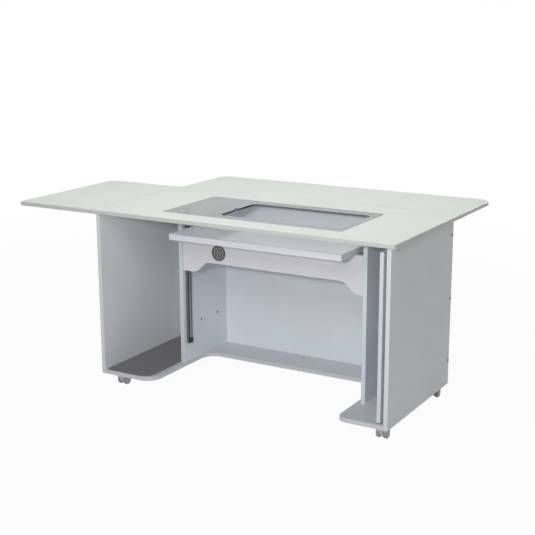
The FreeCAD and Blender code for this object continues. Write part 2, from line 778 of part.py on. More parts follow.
class LeafEdge:
    """A leaf's hinge line: r runs out from the hinge line under the leaf, t runs along it."""

    def __init__(self, name, line, start, end, wall_gap):
        self.name = name
        self.line = line
        self.start = start
        self.end = end
        self.wall_gap = wall_gap
        self.stay_line = wall_gap - RAIL_FLOOR - STRUT_THICK / 2 - STAY_CLEARANCE
        self.pivot_height = hinge_height - self.stay_line
        self.strut_length = (STAY_REACH + self.stay_line) * math.sqrt(2)
        self.foot_height = self.pivot_height - STAY_REACH - self.stay_line
        self.low_height = hinge_height - STAY_REACH - self.strut_length

    def point(self, r, t, z):
        """Place in the object's own frame."""
        if self.name == "left":
            return FreeCAD.Vector(self.line - r, t, z)
        return FreeCAD.Vector(t, self.line + r, z)

    def along(self, length):
        """Vector along the hinge line."""
        if self.name == "left":
            return FreeCAD.Vector(0, length, 0)
        return FreeCAD.Vector(length, 0, 0)

    def slab(self, r0, r1, t0, t1, z0, z1):
        """Square block between two places."""
        a = self.point(r0, t0, z0)
        b = self.point(r1, t1, z1)
        return block(a.x, b.x, a.y, b.y, a.z, b.z)

    def hinge_starts(self, count):
        """Where each hinge begins, evenly spread along the seam."""
        first = self.start + HINGE_END_INSET
        last = self.end - HINGE_END_INSET - HINGE_LENGTH
        return [first + (last - first) * step / (count - 1) for step in range(count)]

    def knuckle(self, t0, t1):
        """Rolled knuckle with its bore for the pin."""
        start = self.point(0, t0, hinge_height)
        outer = rod(KNUCKLE_RADIUS, start, self.along(t1 - t0))
        return outer, rod(PIN_RADIUS + PIN_PLAY, start, self.along(t1 - t0))

    def hinge_wing(self, t, direction, reach, spans):
        """Hinge plate with its knuckles; direction is -1 under the main top, +1 under the leaf."""
        low = underside - HINGE_PLATE
        clear = KNUCKLE_RADIUS + KNUCKLE_GAP
        wing = self.slab(direction * clear, direction * reach, t, t + HINGE_LENGTH, low, underside)
        bores = []
        for t0, t1 in spans:
            outer, bore = self.knuckle(t + t0, t + t1)
            link = self.slab(0, direction * clear, t + t0, t + t1, low, underside)
            wing = wing.fuse([outer, link])
            bores.append(bore)
        return wing.cut(bores).removeSplitter()

    def fixed_wings(self, count):
        """Hinge plates under the main top, each with two end knuckles."""
        length = HINGE_LENGTH / KNUCKLES
        spans = [(0, length - KNUCKLE_GAP), (HINGE_LENGTH - length + KNUCKLE_GAP, HINGE_LENGTH)]
        return [self.hinge_wing(t, -1, FIXED_WING, spans) for t in self.hinge_starts(count)]

    def leaf_wings(self, count):
        """Hinge plates under the leaf, each with one middle knuckle."""
        length = HINGE_LENGTH / KNUCKLES
        spans = [(length, HINGE_LENGTH - length)]
        return [self.hinge_wing(t, 1, LEAF_WING, spans) for t in self.hinge_starts(count)]

    def pins(self, count):
        """Hinge pins."""
        length = self.along(HINGE_LENGTH)
        return [rod(PIN_RADIUS, self.point(0, t, hinge_height), length) for t in self.hinge_starts(count)]

    def strut(self, t):
        """Flat bar with round ends, pivoted under the leaf and set at 45 degrees."""
        half = STRUT_THICK / 2
        slope = math.sqrt(0.5)
        corners = []
        far = self.strut_length + half
        for reach, side in ((-half, -1), (far, -1), (far, 1), (-half, 1)):
            r = STAY_REACH - slope * reach + slope * side * half
            z = self.pivot_height - slope * reach - slope * side * half
            corners.append((r, z, half))
        start = t - STRUT_WIDTH / 2
        bar = plate(corners, lambda r, z: self.point(r, start, z), self.along(STRUT_WIDTH))
        hole = rod(
            STRUT_PIN_RADIUS + PIN_PLAY,
            self.point(STAY_REACH, start, self.pivot_height),
            self.along(STRUT_WIDTH),
        )
        return bar.cut(hole)

    def bracket(self, t):
        """Clevis screwed under the leaf: a base plate with an ear on each side of the strut."""
        inner = STRUT_WIDTH / 2 + EAR_GAP
        outer = inner + EAR_THICK
        body = self.slab(
            STAY_REACH - EAR_ROOT,
            STAY_REACH + EAR_ROOT,
            t - outer,
            t + outer,
            underside - BRACKET_BASE,
            underside,
        )
        for start in (t - outer, t + inner):
            ear = plate(
                [
                    (STAY_REACH - EAR_ROOT, underside - BRACKET_BASE, 0.0),
                    (STAY_REACH - EAR_RADIUS, self.pivot_height - EAR_RADIUS, EAR_RADIUS / 2),
                    (STAY_REACH + EAR_RADIUS, self.pivot_height - EAR_RADIUS, EAR_RADIUS / 2),
                    (STAY_REACH + EAR_ROOT, underside - BRACKET_BASE, 0.0),
                ],
                lambda r, z, start=start: self.point(r, start, z),
                self.along(EAR_THICK),
            )
            body = body.fuse(ear)
        hole = rod(
            STRUT_PIN_RADIUS + PIN_PLAY,
            self.point(STAY_REACH, t - outer, self.pivot_height),
            self.along(2 * outer),
        )
        return body.cut(hole).removeSplitter()

    def stay_pin(self, t):
        """Pivot pin of a stay."""
        half = STRUT_WIDTH / 2 + EAR_GAP + EAR_THICK + STRUT_PIN_HEAD
        end = self.point(STAY_REACH, t - half, self.pivot_height)
        return rod(STRUT_PIN_RADIUS, end, self.along(2 * half))

    def rail(self, t):
        """Channel on the carcase that the stay's foot bears in and runs down."""
        half = STRUT_WIDTH / 2 + RAIL_SIDE_GAP
        wall = -self.wall_gap
        low = self.low_height - RAIL_END
        high = self.foot_height + RAIL_END
        channel = self.slab(wall, wall + RAIL_RISE, t - half - RAIL_WALL, t + half + RAIL_WALL, low, high)
        groove = self.slab(wall + RAIL_FLOOR, wall + RAIL_RISE, t - half, t + half, low, high)
        return channel.cut(groove)


def runner_rail(z, web, mouth, height):
    """Runner member: a channel along Y, with its web at one X and its flanges towards another."""
    start = pullout_front + RUNNER_SETBACK
    end = pullout_back - RUNNER_TAIL
    step = RUNNER_SHEET if mouth > web else -RUNNER_SHEET
    half = height / 2
    outer = block(web, mouth, start, end, z - half, z + half)
    hollow = block(
        web + step,
        mouth,
        start,
        end,
        z - half + RUNNER_SHEET,
        z + half - RUNNER_SHEET,
    )
    return outer.cut(hollow)


def runner_heights():
    """Heights of the lower and upper runner."""
    return pullout_bottom + RUNNER_INSET, pullout_top - RUNNER_INSET


def make_castor_plate(x, y):
    """Fixing plate with the stem that the castor swivels on."""
    low = CASTOR_HEIGHT - CASTOR_PLATE_THICK
    half = CASTOR_PLATE / 2
    flange = plate(
        rectangle(x - half, x + half, y - half, y + half, CASTOR_PLATE_ROUND),
        at_height(low),
        FreeCAD.Vector(0, 0, CASTOR_PLATE_THICK),
    )
    stem = rod(STEM_RADIUS, FreeCAD.Vector(x, y, low - STEM_LENGTH), FreeCAD.Vector(0, 0, STEM_LENGTH))
    return flange.fuse(stem)


def ring_segment(centre, inner, outer, angle, across):
    """Upper part of a round band about an X axis, open below an angle from the level on both sides."""

    def spot(radius, degrees):
        turn = math.radians(degrees)
        return centre + FreeCAD.Vector(0, radius * math.cos(turn), radius * math.sin(turn))

    far = 180.0 - angle
    edges = [
        Part.Arc(spot(outer, angle), spot(outer, 90.0), spot(outer, far)).toShape(),
        Part.makeLine(spot(outer, far), spot(inner, far)),
        Part.Arc(spot(inner, far), spot(inner, 90.0), spot(inner, angle)).toShape(),
        Part.makeLine(spot(inner, angle), spot(outer, angle)),
    ]
    return Part.Face(Part.Wire(edges)).extrude(across)


def make_castor_hood(x, y):
    """Moulded hood: a boss on the stem, a web between the wheels and a fender over them."""
    plate_low = CASTOR_HEIGHT - CASTOR_PLATE_THICK
    top = plate_low - HOOD_TOP_GAP
    axle = FreeCAD.Vector(x, y + CASTOR_TRAIL, WHEEL_RADIUS)
    across = FreeCAD.Vector(1, 0, 0)
    half = WHEEL_INNER + WHEEL_WIDTH
    boss = rod(BOSS_RADIUS, FreeCAD.Vector(x, y, top - BOSS_DEPTH), FreeCAD.Vector(0, 0, BOSS_DEPTH))
    web = rod(WEB_RADIUS, axle - across * WEB_HALF, across * (2 * WEB_HALF))
    inner = WHEEL_RADIUS + FENDER_GAP
    side = axle - across * half
    fender = ring_segment(side, inner, inner + FENDER_WALL, FENDER_ANGLE, across * (2 * half))
    stem_foot = plate_low - STEM_LENGTH - HOOD_TOP_GAP
    up = FreeCAD.Vector(0, 0, plate_low)
    stem_hole = rod(STEM_RADIUS + STEM_PLAY, FreeCAD.Vector(x, y, stem_foot), up)
    axle_hole = rod(AXLE_RADIUS + AXLE_PLAY, axle - across * WEB_HALF, across * (2 * WEB_HALF))
    return boss.fuse([web, fender]).cut([stem_hole, axle_hole]).removeSplitter()


def make_castor_wheels(x, y):
    """Two wheels with rounded treads and dished hubs, on one axle."""
    axle = FreeCAD.Vector(x, y + CASTOR_TRAIL, WHEEL_RADIUS)
    across = FreeCAD.Vector(1, 0, 0)
    solids = []
    for side in (-1, 1):
        outward = across * side
        start = axle + outward * WHEEL_INNER
        wheel = rod(WHEEL_RADIUS, start, outward * WHEEL_WIDTH)
        wheel = wheel.makeFillet(WHEEL_ROUND, [edge for edge in wheel.Edges if edge.Closed])
        dish = rod(HUB_RADIUS, start + outward * (WHEEL_WIDTH - HUB_DISH), outward * HUB_DISH)
        bore = rod(AXLE_RADIUS + AXLE_PLAY, start, outward * (WHEEL_WIDTH - AXLE_END))
        solids.append(wheel.cut([dish, bore]))
    reach = WHEEL_INNER + WHEEL_WIDTH - AXLE_END
    solids.append(rod(AXLE_RADIUS, axle - across * reach, across * (2 * reach)))
    return solids


def make_screw_caps():
    """Round caps over the screws that hold the back panel between the side panels."""
    low = CASTOR_HEIGHT + CAP_FROM_BOTTOM
    high = underside - CAP_FROM_TOP
    middle = carcase_back - BOARD / 2
    caps = []
    for face, outward in ((left_face, -1), (right_face, 1)):
        for z in (low, (low + high) / 2, high):
            push = FreeCAD.Vector(outward * CAP_THICK, 0, 0)
            caps.append(rod(CAP_RADIUS, FreeCAD.Vector(face, middle, z), push))
    return caps


def make_bolt_caps():
    """Small dark caps: two on the left divider and one on the rear strip of the base plate."""
    caps = []
    for setback in BOLT_CAPS_FROM_DIVIDER_FRONT:
        place = FreeCAD.Vector(left_divider_face, left_divider_front + setback, base_top + BOLT_CAP_HEIGHT)
        caps.append(rod(BOLT_CAP_RADIUS, place, FreeCAD.Vector(BOLT_CAP_THICK, 0, 0)))
    x = left_divider_face + BASE_CAP_FROM_DIVIDER
    place = FreeCAD.Vector(x, back_wall - BASE_CAP_FROM_BACK, base_top)
    caps.append(rod(BOLT_CAP_RADIUS, place, FreeCAD.Vector(0, 0, BOLT_CAP_THICK)))
    return caps


os.makedirs("parts", exist_ok=True)

# Carcase
save("base_plate", make_base())
outer_span = (carcase_front, carcase_back, CASTOR_HEIGHT, underside)
left_span = (left_divider_front, back_wall, base_top, underside)
right_span = (right_divider_front, back_wall, base_top, underside)
save("left_side_panel", upright(left_face, left_wall, *outer_span))
save("right_side_panel", upright(right_wall, right_face, *outer_span))
save("back_panel", block(left_wall, right_wall, back_wall, carcase_back, base_top, underside))
save("left_divider", upright(left_divider_outer, left_divider_face, *left_span))
save("right_divider", upright(right_divider_face, right_divider_outer, *right_span))
save("panel_screw_caps", *make_screw_caps())
save("bolt_caps", *make_bolt_caps())

# Worktop
save("main_top", make_main_top())
save("clear_insert", make_insert())
save("left_leaf", make_left_leaf())
save("rear_leaf", make_rear_leaf())

# Lift
save("lift_platform", make_platform())
save("lift_beam", make_beam())
save("vent_cap", make_vent())
lift_sides = {
    "left": LiftSide(left_divider_face, 1, platform_left),
    "right": LiftSide(right_divider_face, -1, platform_right),
}
for name, side in lift_sides.items():
    save(name + "_lift_track", side.track())
    save(name + "_rod_anchor", side.anchor())
    save(name + "_spring_rod", side.spring_rod())
    save(name + "_spring_cylinder", side.cylinder())
    save(name + "_buffer_spring", side.buffer_spring())
    save(name + "_glides", *side.glides())
    save(name + "_carriage", side.carriage())
print("least gap between the turns of a buffer spring, mm:", round(spring_clearance(), 2))

# Leaf hinges and stays
left_edge = LeafEdge("left", main_left - SEAM_GAP / 2, top_front, main_back, LEFT_OVERHANG + SEAM_GAP / 2)
rear_edge = LeafEdge("rear", main_back + SEAM_GAP / 2, main_left, top_right, BACK_OVERHANG + SEAM_GAP / 2)
left_stays = [top_front + place for place in LEFT_STAYS_FROM_FRONT]
rear_stays = [main_left + place for place in REAR_STAYS_FROM_LEFT]
for edge, count, stays in ((left_edge, LEFT_HINGES, left_stays), (rear_edge, REAR_HINGES, rear_stays)):
    save(edge.name + "_hinge_plates", *edge.fixed_wings(count))
    save(edge.name + "_hinge_flaps", *edge.leaf_wings(count))
    save(edge.name + "_hinge_pins", *edge.pins(count))
    save(edge.name + "_stay_rails", *[edge.rail(t) for t in stays])
    save(edge.name + "_stay_brackets", *[edge.bracket(t) for t in stays])
    save(edge.name + "_stay_pins", *[edge.stay_pin(t) for t in stays])
    save(edge.name + "_stay_struts", *[edge.strut(t) for t in stays])

# Pull-out board
pullout = upright(pullout_left, pullout_right, pullout_front, pullout_back, pullout_bottom, pullout_top)
save("pullout_board", pullout)
inner_height = RUNNER_HEIGHT - 2 * (RUNNER_SHEET + RUNNER_PLAY)
for name, height in zip(("lower", "upper"), runner_heights()):
    save(name + "_runner_rail", runner_rail(height, right_wall, pullout_right + RUNNER_NEST, RUNNER_HEIGHT))
    save(name + "_runner_slide", runner_rail(height, pullout_right, right_wall - RUNNER_NEST, inner_height))

# Castors
castor_columns = {"left": left_face + CASTOR_LEFT_INSET, "right": right_face - CASTOR_RIGHT_INSET}
castor_rows = {"front": carcase_front + CASTOR_FRONT_INSET, "rear": carcase_back - CASTOR_BACK_INSET}
for row, y in castor_rows.items():
    for column, x in castor_columns.items():
        place = row + "_" + column
        save("castor_plate_" + place, make_castor_plate(x, y))
        save("castor_hood_" + place, make_castor_hood(x, y))
        save("castor_wheels_" + place, *make_castor_wheels(x, y))
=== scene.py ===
# %% [markdown]
# # A sewing cabinet, opened out
# The cabinet is a white carcase on castors under a wide off-white worktop with two drop leaves. The packed
# part already holds every board, hinge and wheel at its real size, so this lesson only dresses it: it sets a
# camera and a plain studio, gives each surface a finish, and adds the small hardware that is too fine for
# the solids.

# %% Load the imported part
import json
import math

import bpy
import numpy as np
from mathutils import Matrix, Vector


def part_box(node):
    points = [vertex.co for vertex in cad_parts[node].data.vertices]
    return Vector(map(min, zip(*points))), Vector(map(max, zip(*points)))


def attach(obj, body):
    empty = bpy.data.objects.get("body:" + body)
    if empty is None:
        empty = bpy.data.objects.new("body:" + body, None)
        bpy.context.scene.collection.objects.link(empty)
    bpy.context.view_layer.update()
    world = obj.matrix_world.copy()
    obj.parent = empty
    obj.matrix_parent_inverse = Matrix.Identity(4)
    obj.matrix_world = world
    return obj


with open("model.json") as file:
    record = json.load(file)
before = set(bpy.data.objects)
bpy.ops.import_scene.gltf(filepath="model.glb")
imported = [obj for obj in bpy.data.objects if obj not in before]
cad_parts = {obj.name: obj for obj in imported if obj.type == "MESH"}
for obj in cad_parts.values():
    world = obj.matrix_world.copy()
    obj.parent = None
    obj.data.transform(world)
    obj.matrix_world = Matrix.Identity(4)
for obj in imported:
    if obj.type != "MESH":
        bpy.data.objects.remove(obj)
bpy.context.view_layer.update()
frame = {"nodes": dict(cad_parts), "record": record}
nodes = frame["nodes"]

# %% [markdown]
# ## Camera
# The view is from the right of the cabinet and a little above the worktop, through a long lens, so upright
# edges stay almost parallel. The place and the three turns were found from the cabinet's own straight edges.

# %% Camera
LENS_MM = 75.16
SENSOR_MM = 36.0
CAMERA_PLACE = (2.474, -4.134, 1.649)
CAMERA_TURN = math.radians(30.24)
CAMERA_TILT = math.radians(13.77)
CAMERA_ROLL = math.radians(0.18)

camera_data = bpy.data.cameras.new("camera")
camera_data.lens = LENS_MM
camera_data.sensor_width = SENSOR_MM
camera = bpy.data.objects.new("camera", camera_data)
camera.location = CAMERA_PLACE
camera.rotation_euler = (math.pi / 2 - CAMERA_TILT, CAMERA_ROLL, CAMERA_TURN)
bpy.context.collection.objects.link(camera)
bpy.context.scene.camera = camera
bpy.context.scene.view_settings.view_transform = "Standard"
print("camera at", CAMERA_PLACE, "with a lens of", LENS_MM, "mm")

# %% [markdown]
# ## Node helpers
# A finish in Blender is a small graph of nodes. Building one by hand takes many lines, so a few helpers keep
# the recipes short: they add a node and fill its sockets, do sums, stretch a range of values and mix colours.
# Colours are written as they look on a screen and turned into the linear values that Blender counts in.

# %% Node helpers
def put(tree, kind, inputs=None, **options):
    """Add a node, set its options, and fill each named or numbered socket with a value or a link."""
    node = tree.nodes.new("ShaderNode" + kind)
    for name, value in options.items():
        setattr(node, name, value)
    for name, value in (inputs or {}).items():
        if isinstance(value, bpy.types.NodeSocket):
            tree.links.new(value, node.inputs[name])
        else:
            node.inputs[name].default_value = value
    return node


def calc(tree, operation, *values):
    """Result of a sum on one, two or three values."""
    node = put(tree, "Math", dict(enumerate(values)), operation=operation)
    return node.outputs[0]


def stretch(tree, value, low, high, to_low=0.0, to_high=1.0):
    """Value carried smoothly from the range low..high to the range to_low..to_high, and held there."""
    sockets = {"Value": value, "From Min": low, "From Max": high, "To Min": to_low, "To Max": to_high}
    return put(tree, "MapRange", sockets, interpolation_type="SMOOTHSTEP").outputs["Result"]


def mix_colours(tree, share, first, second):
    """Colour that goes from the first to the second as share goes from 0 to 1."""
    node = put(tree, "Mix", data_type="RGBA")
    for place, value in ((0, share), (6, first), (7, second)):
        if isinstance(value, bpy.types.NodeSocket):
            tree.links.new(value, node.inputs[place])
        else:
            node.inputs[place].default_value = value
    return node.outputs[2]


def screen_colour(red, green, blue):
    """Linear colour of a screen colour given from 0 to 255."""
    parts = np.array([red, green, blue]) / 255
    linear = np.where(parts <= 0.04045, parts / 12.92, ((parts + 0.055) / 1.055) ** 2.4)
    return (*linear.tolist(), 1.0)


def scaled(colour, share):
    """The same colour, lighter or darker by a share."""
    return (*(channel * share for channel in colour[:3]), 1.0)


def two_tone(tree, share, colour, tones):
    """The colour times the first tone, going to the colour times the second as share goes from 0 to 1."""
    return mix_colours(tree, share, scaled(colour, tones[0]), scaled(colour, tones[1]))


MID_GREY = screen_colour(128, 128, 128)
print("mid grey as a linear colour:", [round(channel, 3) for channel in MID_GREY[:3]])

# %% [markdown]
# ## Studio
# A pale floor carries the cabinet's shadow, and the surroundings are white where the camera, a mirror or
# glass looks at them. The floor could be a curved backdrop, but a flat sheet that fades into white does the
# same with one face: near the cabinet it shows some of its shading, and further out it is plain white.

# %% Floor and surroundings
FLOOR_HALF = 40.0
FLOOR_COLOUR = (0.80, 0.80, 0.80, 1.0)
SHADOW_NEAR = 1.3
SHADOW_FAR = 4.5
WHITE_SHARE = 0.95
SKY_COLOUR = (0.95, 0.97, 1.0, 1.0)
SKY_STRENGTH = 0.09
WHITE = (1.0, 1.0, 1.0, 1.0)


def looked_at(tree):
    """1 for rays that show the surroundings: from the camera, off a gloss, or through glass."""
    path = put(tree, "LightPath")
    shown = calc(tree, "MAXIMUM", path.outputs["Is Camera Ray"], path.outputs["Is Glossy Ray"])
    return calc(tree, "MAXIMUM", shown, path.outputs["Is Transmission Ray"])


floor_mesh = bpy.data.meshes.new("floor")
reach = np.array([-FLOOR_HALF, FLOOR_HALF])
corners = np.stack([*np.meshgrid(reach, reach), np.zeros((2, 2))], axis=-1).reshape(-1, 3)
floor_mesh.from_pydata(corners.tolist(), [], [(0, 1, 3, 2)])
floor = bpy.data.objects.new("floor", floor_mesh)
bpy.context.collection.objects.link(floor)

floor_finish = bpy.data.materials.new("pale_floor")
floor_finish.use_nodes = True
tree = floor_finish.node_tree
tree.nodes.clear()
place = put(tree, "TexCoord").outputs["Object"]
away = put(tree, "VectorMath", {0: place}, operation="LENGTH").outputs["Value"]
fade = stretch(tree, away, SHADOW_NEAR, SHADOW_FAR, WHITE_SHARE)
white_share = calc(tree, "MULTIPLY", looked_at(tree), fade)
shaded = put(tree, "BsdfDiffuse", {"Color": FLOOR_COLOUR})
white = put(tree, "Emission", {"Color": WHITE, "Strength": 1.0})
both = put(tree, "MixShader", {0: white_share, 1: shaded.outputs[0], 2: white.outputs[0]})
put(tree, "OutputMaterial", {"Surface": both.outputs[0]})
floor_mesh.materials.append(floor_finish)

world = bpy.data.worlds.new("studio")
bpy.context.scene.world = world
world.use_nodes = True
tree = world.node_tree
tree.nodes.clear()
sky = put(tree, "Background", {"Color": SKY_COLOUR, "Strength": SKY_STRENGTH})
backdrop = put(tree, "Background", {"Color": WHITE, "Strength": 1.0})
both = put(tree, "MixShader", {0: looked_at(tree), 1: sky.outputs[0], 2: backdrop.outputs[0]})
put(tree, "OutputWorld", {"Surface": both.outputs[0]})
print("floor reaches", FLOOR_HALF, "m each way; sky strength", SKY_STRENGTH)

# %% [markdown]
# ## Lamps
# Five soft boxes. The key is a small one just above the camera and to its left: it reaches into the knee
# space and the bays, and since it looks almost along the view, only a thin line of shadow shows under the
# edges of the platform and the beam. A high one at the front and one overhead light the worktop, most in its
# middle, and one behind and one at the left keep the other sides readable. Each row of the table gives a
# lamp's place, the point it looks at, its width and height, and its power.

# %% Lamps
LAMPS = {
    "key": ((1.7, -4.4, 1.85), (0.2, 0.0, 0.5), (0.4, 0.3), 78.0),
    "high_front": ((1.0, -2.9, 2.6), (0.2, 0.0, 0.5), (1.6, 1.2), 33.0),
    "overhead": ((0.0, 0.05, 3.1), (0.0, 0.05, 0.7), (1.4, 1.2), 26.5),
    "behind": ((1.3, 4.2, 1.5), (0.1, 0.3, 0.5), (2.2, 1.4), 66.0),
    "left_fill": ((-4.4, -0.6, 1.7), (-0.4, 0.0, 0.5), (2.0, 1.4), 28.0),
}

for name, (spot, aim, size, power) in LAMPS.items():
    lamp = bpy.data.lights.new(name, "AREA")
    lamp.shape = "RECTANGLE"
    lamp.size, lamp.size_y = size
    lamp.energy = power
    holder = bpy.data.objects.new(name, lamp)
    holder.location = spot
    holder.rotation_euler = (Vector(aim) - Vector(spot)).to_track_quat("-Z", "Y").to_euler()
    bpy.context.collection.objects.link(holder)
print("lamps:", {name: lamp[3] for name, lamp in LAMPS.items()}, "watts")

# %% [markdown]
# ## Boards
# Every board is chipboard under a thin decor skin, with a plastic band glued round its cut edges. The skin is
# pressed with a fine pearl grain, so its gloss breaks up softly, and its tone wanders a little from place to
# place. The band is a shade off the skin and meets it in a hairline joint. All of this reads the place and
# the facing of a point on the board itself, so one recipe serves boards that lie in any direction.

# %% Board recipe
PEARL_SCALE = 900.0
PEARL_DEPTH = 0.00012
PEARL_STRENGTH = 0.18
PEARL_SHARE = 0.35
FINE_DETAIL = 1.0
SOFT_DETAIL = 2.0
CLOUD_SCALE = 5.0
HAZE_SCALE = 22.0
HAZE_DETAIL = 4.0
NOISE_RANGE = (0.3, 0.7)
BOARD_TONES = (0.978, 1.022)
BOARD_GLOSS = (0.34, 0.46)
BOARD_SPECULAR = 0.42
SKIN_FACING = (0.86, 0.90)
JOINT_FACING = (0.97, 0.93)
HAIRLINE_TONE = 0.80


def start_finish(name):
    """New material with one Principled shader: the material, its tree, the shader and the coordinates."""
    material = bpy.data.materials.new(name)
    material.use_nodes = True
    tree = material.node_tree
    tree.nodes.clear()
    shader = put(tree, "BsdfPrincipled")
    put(tree, "OutputMaterial", {"Surface": shader.outputs["BSDF"]})
    return material, tree, shader, put(tree, "TexCoord")


def speckle(tree, coords, scale, detail=SOFT_DETAIL):
    """Cloudy noise from 0 to 1 at a scale in repeats per metre."""
    sockets = {"Vector": coords.outputs["Object"], "Scale": scale, "Detail": detail}
    return put(tree, "TexNoise", sockets).outputs["Fac"]


def raise_grain(tree, shader, height, depth, strength):
    """Let a height from 0 to 1 stand out of the surface by a depth in metres."""
    sockets = {"Height": height, "Distance": depth, "Strength": strength}
    tree.links.new(put(tree, "Bump", sockets).outputs["Normal"], shader.inputs["Normal"])


def board_finish(name, skin, band, thin_axis, gloss=BOARD_GLOSS, specular=BOARD_SPECULAR):
    """Decor skin on the two broad faces of a board, edge band elsewhere, with a hairline where they meet."""
    material, tree, shader, coords = start_finish(name)
    facing = put(tree, "SeparateXYZ", {0: coords.outputs["Normal"]}).outputs[thin_axis]
    facing = calc(tree, "ABSOLUTE", facing)
    on_skin = stretch(tree, facing, *SKIN_FACING)
    joint = calc(tree, "MULTIPLY", on_skin, stretch(tree, facing, *JOINT_FACING))
    clouds = speckle(tree, coords, CLOUD_SCALE)
    pearl = speckle(tree, coords, PEARL_SCALE, FINE_DETAIL)
    tone = calc(tree, "MULTIPLY", clouds, 1 - PEARL_SHARE)
    tone = stretch(tree, calc(tree, "MULTIPLY_ADD", pearl, PEARL_SHARE, tone), *NOISE_RANGE)
    skin_tone = two_tone(tree, tone, skin, BOARD_TONES)
    band_tone = two_tone(tree, clouds, band, BOARD_TONES)
    surface = mix_colours(tree, on_skin, band_tone, skin_tone)
    surface = mix_colours(tree, joint, surface, scaled(skin, HAIRLINE_TONE))
    tree.links.new(surface, shader.inputs["Base Color"])
    haze = speckle(tree, coords, HAZE_SCALE, HAZE_DETAIL)
    tree.links.new(stretch(tree, haze, *NOISE_RANGE, *gloss), shader.inputs["Roughness"])
    shader.inputs["Specular IOR Level"].default_value = specular
    raise_grain(tree, shader, pearl, PEARL_DEPTH, PEARL_STRENGTH)
    return material


print("boards: a pearl grain of", PEARL_SCALE, "repeats per metre, with a gloss of", BOARD_GLOSS)

# %% [markdown]
# ## Which board gets which finish
# The worktop is off-white, the side panels and the lift are white, and the base plate is grey. The boards
# inside the carcase get a cooler white: painted shade, for the cool light under the worktop. The beam gets a
# darker lilac copy of the white, painted shade under the platform, and the platform's edge band a lighter
# copy, painted light on its front edge. A finish could be made for every board, but seven are enough: boards
# of one colour share one when they are thin along the same axis, because the recipe finds the skin by that
# axis.

# %% Dress the boards
WORKTOP = screen_colour(229, 235, 227)
WORKTOP_BAND = screen_colour(197, 199, 195)
MELAMINE = screen_colour(224, 225, 228)
MELAMINE_BAND = screen_colour(213, 214, 215)
# Painted light: a lighter copy of the edge band for the platform, for the light on its front edge.
PLATFORM_LIT_BAND = screen_colour(227, 229, 233)
# Painted shade: a darker lilac copy of the white for the beam, for the shade under the platform.
BEAM_SHADE_WHITE = screen_colour(217, 215, 223)
# Painted shade: a cooler white for the boards inside the carcase, for the cool light in their shade.
INNER_SHADE_WHITE = screen_colour(223, 228, 234)
INNER_SHADE_BAND = screen_colour(207, 211, 218)
BASE_GREY = screen_colour(201, 204, 209)
BASE_BAND = screen_colour(200, 201, 204)
BASE_GLOSS = (0.30, 0.36)
BASE_SPECULAR = 0.5
ACROSS, DEEP, UP = 0, 1, 2

worktop_finish = board_finish("worktop_laminate", WORKTOP, WORKTOP_BAND, UP)
platform_painted_light = board_finish("white_board_flat", MELAMINE, PLATFORM_LIT_BAND, UP)
side_white = board_finish("white_board_side", MELAMINE, MELAMINE_BAND, ACROSS)
beam_painted_shade = board_finish("white_board_front", BEAM_SHADE_WHITE, MELAMINE_BAND, DEEP)
divider_painted_shade = board_finish("inner_board_side", INNER_SHADE_WHITE, INNER_SHADE_BAND, ACROSS)
back_painted_shade = board_finish("inner_board_back", INNER_SHADE_WHITE, INNER_SHADE_BAND, DEEP)
base_grey = board_finish("grey_board", BASE_GREY, BASE_BAND, UP, BASE_GLOSS, BASE_SPECULAR)
BOARDS = {
    "main_top": worktop_finish,
    "left_leaf": worktop_finish,
    "rear_leaf": worktop_finish,
    "base_plate": base_grey,
    "left_side_panel": side_white,
    "right_side_panel": side_white,
    "left_divider": divider_painted_shade,
    "right_divider": divider_painted_shade,
    "pullout_board": divider_painted_shade,
    "back_panel": back_painted_shade,
    "lift_beam": beam_painted_shade,
    "lift_platform": platform_painted_light,
}


def dress(node, material):
    """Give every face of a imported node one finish."""
    mesh = nodes[node].data
    mesh.materials.clear()
    mesh.materials.append(material)


for node, material in BOARDS.items():
    dress(node, material)
print(len(BOARDS), "boards dressed")

# %% [markdown]
# ## Clear insert
# The insert is a sheet of grey acrylic with polished edges. Glass in a path tracer keeps lamp light from what
# lies under it, so rays on their way to a lamp pass through a plain tinted shader, and all others meet the
# real one. Faint wipe marks in the gloss keep the sheet from looking like an empty hole.

# %% Dress the insert
ACRYLIC = screen_colour(158, 161, 164)
ACRYLIC_SHADE = screen_colour(166, 169, 172)
ACRYLIC_IOR = 1.49
ACRYLIC_GLOSS = (0.03, 0.12)
ACRYLIC_TONES = (0.97, 1.03)
WIPE_SCALE = 14.0
WIPE_DETAIL = 5.0
WIPE_RANGE = (0.35, 0.75)
TINT_SCALE = 3.0

acrylic, tree, shader, coords = start_finish("tinted_acrylic")
wipes = speckle(tree, coords, WIPE_SCALE, WIPE_DETAIL)
tree.links.new(stretch(tree, wipes, *WIPE_RANGE, *ACRYLIC_GLOSS), shader.inputs["Roughness"])
tint = two_tone(tree, speckle(tree, coords, TINT_SCALE), ACRYLIC, ACRYLIC_TONES)
tree.links.new(tint, shader.inputs["Base Color"])
shader.inputs["Transmission Weight"].default_value = 1.0
shader.inputs["IOR"].default_value = ACRYLIC_IOR
to_lamp = put(tree, "LightPath").outputs["Is Shadow Ray"]
clear = put(tree, "BsdfTransparent", {"Color": ACRYLIC_SHADE})
both = put(tree, "MixShader", {0: to_lamp, 1: shader.outputs[0], 2: clear.outputs[0]})
tree.links.new(both.outputs[0], tree.nodes["Material Output"].inputs["Surface"])
dress("clear_insert", acrylic)
print("insert dressed, index of refraction", ACRYLIC_IOR)

# %% [markdown]
# ## Zinc plate
# Hinges, stays, runners and castor plates are pressed from zinc-plated sheet, which has a faint crystal
# pattern. A flat grey metal would look like a drawing, so cells worked out from the place on the piece give
# every crystal its own tone and gloss, and a finer noise lays scuffs across them.

